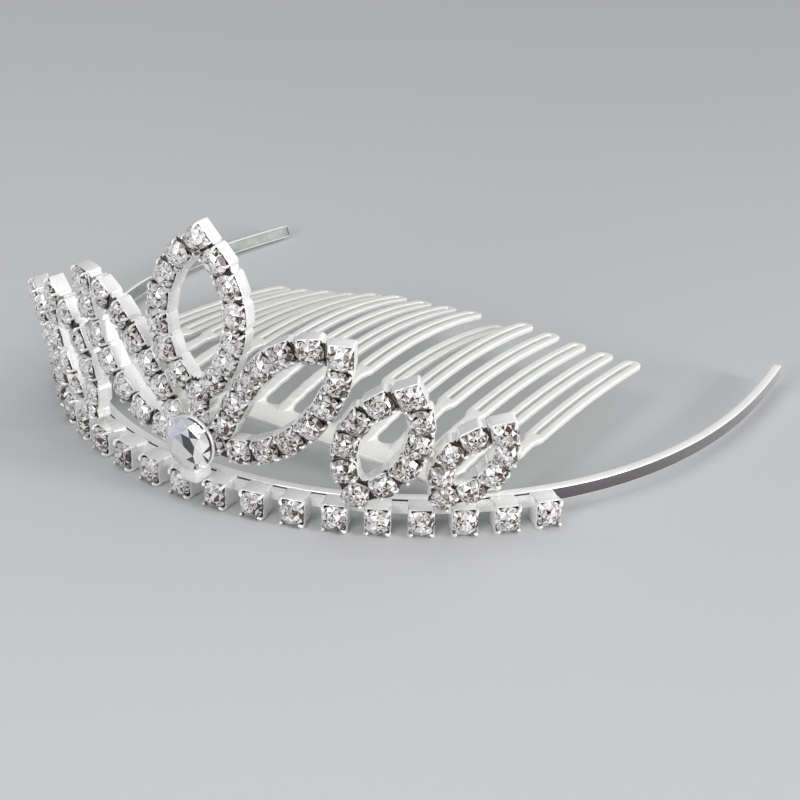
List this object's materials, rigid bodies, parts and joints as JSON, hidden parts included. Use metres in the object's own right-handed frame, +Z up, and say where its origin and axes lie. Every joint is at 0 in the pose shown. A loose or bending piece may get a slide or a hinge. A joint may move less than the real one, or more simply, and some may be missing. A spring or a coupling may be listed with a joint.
{
  "type": "comb tiara",
  "caption": "Silver plated comb tiara with clear foil backed stones: open pointed leaves over a stone row, bare side arms and a slotted hair comb.",
  "frame": {"origin": "middle of the outline seen from above, on the surface the tiara stands on", "axes": "-Y is the front with the stones, +Y is where the bare arms and the teeth of the comb point, +X is the right side for someone who looks at the front, +Z is up"},
  "size_m": [0.0946, 0.0806, 0.0367],
  "materials": {
    "silver_band": "polished silver plate",
    "silver_comb": "satin silver plate",
    "silver_cups": "bright silver plate",
    "clear_stones": "cut, clear, foil backed"
  },
  "bodies": {
    "root": {"band": "silver_band", "hair_comb": "silver_comb", "cup_row": "silver_cups", "row_stone_01": "clear_stones", "row_stone_02": "clear_stones", "row_stone_03": "clear_stones", "row_stone_04": "clear_stones", "row_stone_05": "clear_stones", "row_stone_06": "clear_stones", "row_stone_07": "clear_stones", "row_stone_08": "clear_stones", "row_stone_09": "clear_stones", "row_stone_10": "clear_stones", "row_stone_11": "clear_stones", "row_stone_12": "clear_stones", "row_stone_13": "clear_stones", "row_stone_14": "clear_stones", "row_stone_15": "clear_stones", "row_stone_16": "clear_stones", "row_stone_17": "clear_stones", "row_stone_18": "clear_stones", "centre_setting": "silver_cups", "centre_stone": "clear_stones", "leaf_centre": "silver_cups", "leaf_right_1": "silver_cups", "leaf_right_2": "silver_cups", "leaf_right_3": "silver_cups", "leaf_left_1": "silver_cups", "leaf_left_2": "silver_cups", "leaf_left_3": "silver_cups", "stones_centre": "clear_stones", "stones_right_1": "clear_stones", "stones_right_2": "clear_stones", "stones_right_3": "clear_stones", "stones_left_1": "clear_stones", "stones_left_2": "clear_stones", "stones_left_3": "clear_stones"}
  },
  "joints": []
}
